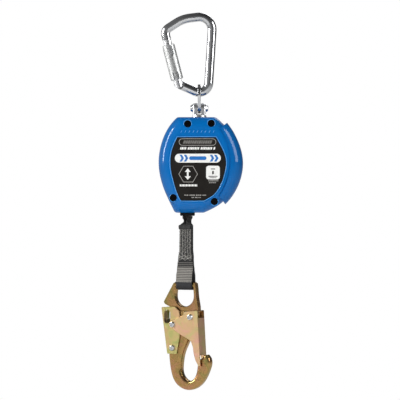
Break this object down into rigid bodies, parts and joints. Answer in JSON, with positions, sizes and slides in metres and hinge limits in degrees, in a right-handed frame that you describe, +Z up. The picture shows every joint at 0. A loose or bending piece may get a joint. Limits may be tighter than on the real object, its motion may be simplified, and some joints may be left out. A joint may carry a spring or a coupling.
{
  "type": "self retracting lifeline",
  "caption": "Personal fall-arrest reel: blue moulded housing with side grip, swivel eye and twist-lock carabiner above, webbing lifeline ending in a double-locking snap hook.",
  "frame": {"origin": "the point inside the carabiner's crown where the anchor bears", "axes": "+Z up along the hanging load line, +X to the right of the label, +Y to the rear"},
  "size_m": [0.1177, 0.0704, 0.5281],
  "materials": {
    "plated_steel": "polished zinc-nickel plate",
    "blasted_steel": "bead-blasted steel",
    "spring_steel": "oiled spring steel",
    "blue_nylon": "gloss moulded nylon",
    "label_black": "printed polyester label",
    "black_screw": "black oxide",
    "black_nylon": "moulded acetal",
    "frame_steel": "zinc-plated steel",
    "friction_lining": "woven lining",
    "drum_aluminium": "die cast",
    "bronze_bush": "sintered bronze",
    "black_web": "woven polyester webbing",
    "sewn_web": "webbing under pale grey bar stitching",
    "wear_web": "ribbed grey wear webbing",
    "gold_zinc": "yellow chromated zinc on forged and pressed steel",
    "rivet_steel": "bright steel"
  },
  "bodies": {
    "carabiner": {"carabiner_body": "plated_steel", "carabiner_hinge_rivet": "plated_steel"},
    "carabiner_gate": {"carabiner_gate": "plated_steel", "gate_latch_pin": "plated_steel", "gate_plunger": "plated_steel", "gate_spring": "spring_steel", "sleeve_spring": "spring_steel"},
    "carabiner_sleeve": {"carabiner_sleeve": "blasted_steel"},
    "swivel_eye": {"swivel_eye": "plated_steel"},
    "clevis": {"swivel_clevis": "plated_steel", "clevis_bolt": "plated_steel", "clevis_nut": "plated_steel", "swivel_thrust_washer": "plated_steel", "swivel_lock_nut": "plated_steel"},
    "housing": {"front_cover": "blue_nylon", "rear_cover": "blue_nylon", "side_grip": "blue_nylon", "label_plate": "label_black", "cover_screws": "black_screw", "cover_nuts": "black_screw", "web_guide": "black_nylon", "main_frame": "frame_steel", "drum_shaft": "frame_steel", "shaft_clips": "frame_steel", "ratchet_ring": "frame_steel", "friction_disc_front": "friction_lining", "friction_disc_rear": "friction_lining", "clamp_ring": "frame_steel", "clamp_screws": "frame_steel", "web_span": "black_web", "spring_cup": "frame_steel", "spring_cup_lid": "frame_steel", "power_spring": "spring_steel"},
    "drum": {"drum_hub": "drum_aluminium", "drum_flange_front": "drum_aluminium", "drum_flange_rear": "drum_aluminium", "drum_rivets": "frame_steel", "bush_front": "bronze_bush", "bush_rear": "bronze_bush", "spring_arbor": "drum_aluminium", "web_roll": "black_web", "web_pin": "frame_steel", "pawl_pins": "frame_steel", "pawl_springs": "spring_steel"},
    "pawl_a": {"pawl_a": "frame_steel"},
    "pawl_b": {"pawl_b": "frame_steel"},
    "lifeline": {"lifeline_loop": "wear_web", "lifeline_sewn": "sewn_web", "web_neck": "black_web"},
    "hook": {"hook_body": "gold_zinc", "hook_gate_rivet": "rivet_steel", "hook_lever_rivet": "rivet_steel", "hook_gate_spring": "spring_steel"},
    "hook_gate": {"hook_gate": "gold_zinc", "gate_lobe_rivet_front": "rivet_steel", "gate_lobe_rivet_rear": "rivet_steel"},
    "hook_lever": {"hook_lever": "gold_zinc", "hook_lever_spring": "spring_steel"}
  },
  "joints": [
    {"name": "carabiner_gate_swing", "type": "hinge", "parent": "carabiner", "child": "carabiner_gate", "pos_m": [-0.0296, 0, -0.088], "axis": [0, 1, 0], "range_deg": [0, 26], "stiffness_Nm_per_rad": 0.1, "springref_deg": -34.38},
    {"name": "carabiner_sleeve_turn", "type": "hinge", "parent": "carabiner_gate", "child": "carabiner_sleeve", "pos_m": [-0.0296, 0, -0.088], "axis": [-0.2504, 0, 0.9681], "range_deg": [0, 90], "stiffness_Nm_per_rad": 0.02, "springref_deg": -57.3},
    {"name": "eye_rock", "type": "hinge", "parent": "carabiner", "child": "swivel_eye", "pos_m": [-0.00015, 0, -0.08701], "axis": [0, 1, 0], "range_deg": [-75, 20]},
    {"name": "clevis_tilt", "type": "hinge", "parent": "swivel_eye", "child": "clevis", "pos_m": [0, 0, -0.1229], "axis": [1, 0, 0], "range_deg": [-75, 75]},
    {"name": "housing_swivel", "type": "hinge", "parent": "clevis", "child": "housing", "pos_m": [0, 0, -0.1465], "axis": [0, 0, 1], "continuous": true},
    {"name": "drum_spin", "type": "hinge", "parent": "housing", "child": "drum", "pos_m": [0, 0, -0.203], "axis": [0, -1, 0], "range_deg": [0, 5041], "deforming": ["power_spring"]},
    {"name": "pawl_a_swing", "type": "hinge", "parent": "drum", "child": "pawl_a", "pos_m": [0.024, 0, -0.203], "axis": [0, 1, 0], "range_deg": [0, 15], "stiffness_Nm_per_rad": 0.002, "springref_deg": -22.92},
    {"name": "pawl_b_swing", "type": "hinge", "parent": "drum", "child": "pawl_b", "pos_m": [-0.024, 0, -0.203], "axis": [0, 1, 0], "range_deg": [0, 15], "stiffness_Nm_per_rad": 0.002, "springref_deg": -22.92},
    {"name": "payout", "type": "slide", "parent": "housing", "child": "lifeline", "axis": [0, 0, -1], "range_m": [0, 2.7], "stiffness_N_per_m": 3, "springref_m": -4, "deforming": ["web_neck"]},
    {"name": "hook_swing", "type": "hinge", "parent": "lifeline", "child": "hook", "pos_m": [-0.0189, 0, -0.3704], "axis": [0.891, -0.454, 0], "range_deg": [-75, 75]},
    {"name": "hook_gate_swing", "type": "hinge", "parent": "hook", "child": "hook_gate", "pos_m": [-0.00847, -0.00531, -0.4149], "axis": [0.454, 0.891, 0], "range_deg": [0, 26], "stiffness_Nm_per_rad": 0.1, "springref_deg": -34.38},
    {"name": "hook_lever_squeeze", "type": "hinge", "parent": "hook", "child": "hook_lever", "pos_m": [-0.03431, 0.00785, -0.4584], "axis": [0.454, 0.891, 0], "range_deg": [0, 9], "stiffness_Nm_per_rad": 0.2, "springref_deg": -17.19}
  ],
  "couplings": [
    {"joint": "drum_spin", "follows": "payout", "rad_per_m": 32.579}
  ]
}
